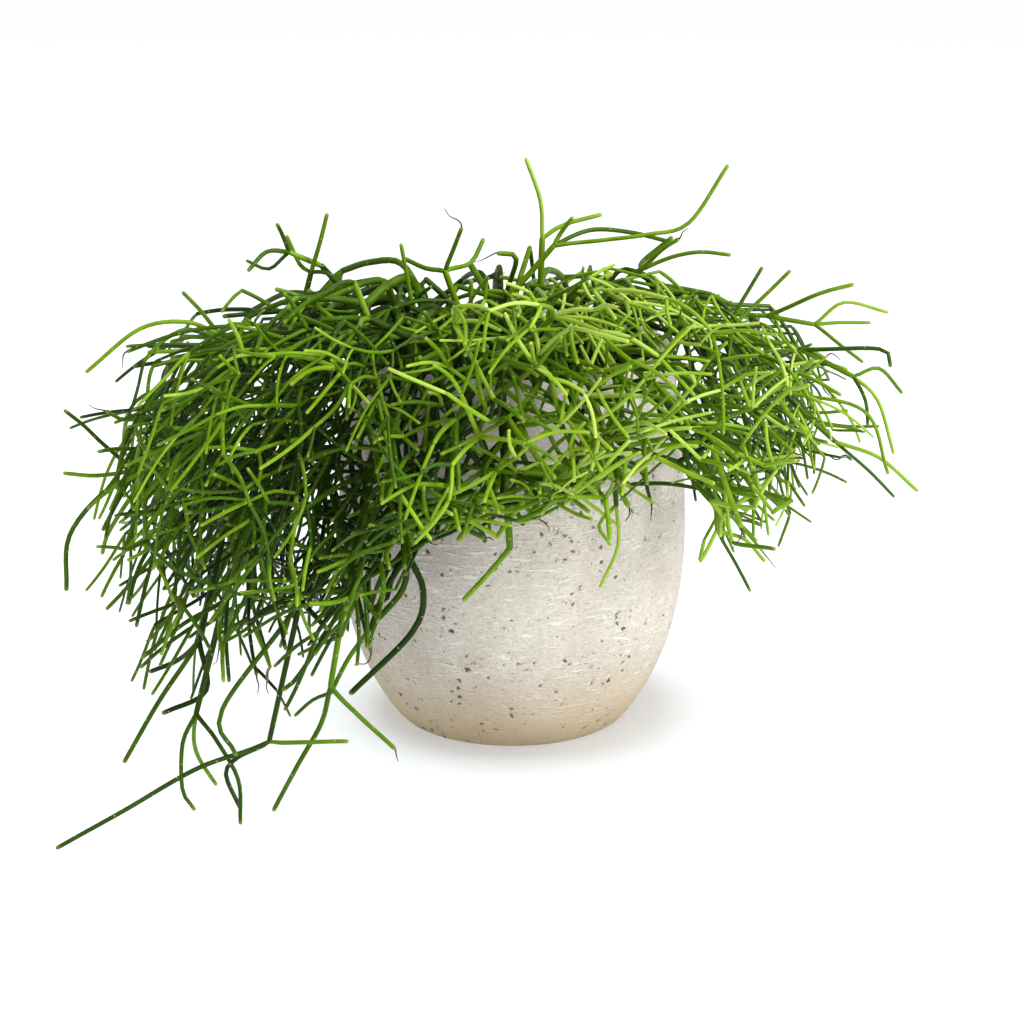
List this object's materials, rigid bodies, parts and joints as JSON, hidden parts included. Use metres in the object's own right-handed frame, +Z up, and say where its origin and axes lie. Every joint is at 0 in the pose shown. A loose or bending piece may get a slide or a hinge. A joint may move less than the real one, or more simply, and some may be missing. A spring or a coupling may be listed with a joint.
{
  "type": "potted rhipsalis heteroclada",
  "caption": "Leafless trailing cactus whose thin green stems fork again and again and spill over the rim of a round, pitted cement pot of soil",
  "frame": {"origin": "centre of the pot's flat foot, on the surface that it stands on", "axes": "+Z up along the pot's axis, +X to the right as seen from the front, and -Y to the front; the longest stems trail to the left and the front"},
  "size_m": [0.4243, 0.3682, 0.2798],
  "materials": {
    "cement": "matt cast cement, cream white, with small brown pits and faint trowel strokes",
    "soil": "loose dark potting soil, matt",
    "stem_light": "waxy living stem, fresh yellow-green",
    "stem_mid": "waxy living stem, mid green",
    "stem_dark": "waxy living stem, deep green"
  },
  "bodies": {
    "root": {"pot": "cement", "soil": "soil", "spray_tall_right": "stem_mid", "spray_tall_back": "stem_mid", "spray_fork_left": "stem_mid", "spray_needle_left": "stem_mid", "spray_crown_left": "stem_mid", "spray_sweep_left": "stem_mid", "spray_arch_left": "stem_dark", "spray_far_left": "stem_dark", "spray_bow_left": "stem_dark", "spray_trail_long": "stem_dark", "spray_trail_mid": "stem_dark", "spray_trail_out": "stem_dark", "spray_trail_near": "stem_dark", "spray_hook_front": "stem_light", "spray_elbow_front": "stem_light", "spray_drop_right": "stem_light", "spray_reach_right": "stem_light", "spray_fan_right": "stem_light", "spray_wing_right": "stem_light", "spray_horn_right": "stem_light", "spray_hang_right": "stem_light", "spray_curl_top": "stem_mid", "spray_crown_1": "stem_mid", "spray_crown_2": "stem_mid", "spray_crown_3": "stem_mid", "spray_crown_4": "stem_mid", "spray_crown_5": "stem_mid", "spray_crown_6": "stem_mid", "spray_crown_7": "stem_mid", "spray_crown_8": "stem_mid", "spray_crown_9": "stem_mid", "spray_front_1": "stem_light", "spray_front_2": "stem_light", "spray_front_3": "stem_light", "spray_front_4": "stem_light", "spray_front_5": "stem_light", "spray_front_6": "stem_light", "spray_front_7": "stem_light", "spray_front_8": "stem_light", "spray_front_9": "stem_light", "spray_left_1": "stem_dark", "spray_left_2": "stem_dark", "spray_left_3": "stem_dark", "spray_left_4": "stem_dark", "spray_left_5": "stem_dark", "spray_left_6": "stem_dark", "spray_left_7": "stem_dark", "spray_left_8": "stem_dark", "spray_right_1": "stem_light", "spray_right_2": "stem_light", "spray_right_3": "stem_light", "spray_right_4": "stem_light", "spray_right_5": "stem_light", "spray_back_1": "stem_dark", "spray_back_2": "stem_dark", "spray_back_3": "stem_dark", "spray_back_4": "stem_dark", "spray_back_5": "stem_dark"}
  },
  "joints": []
}
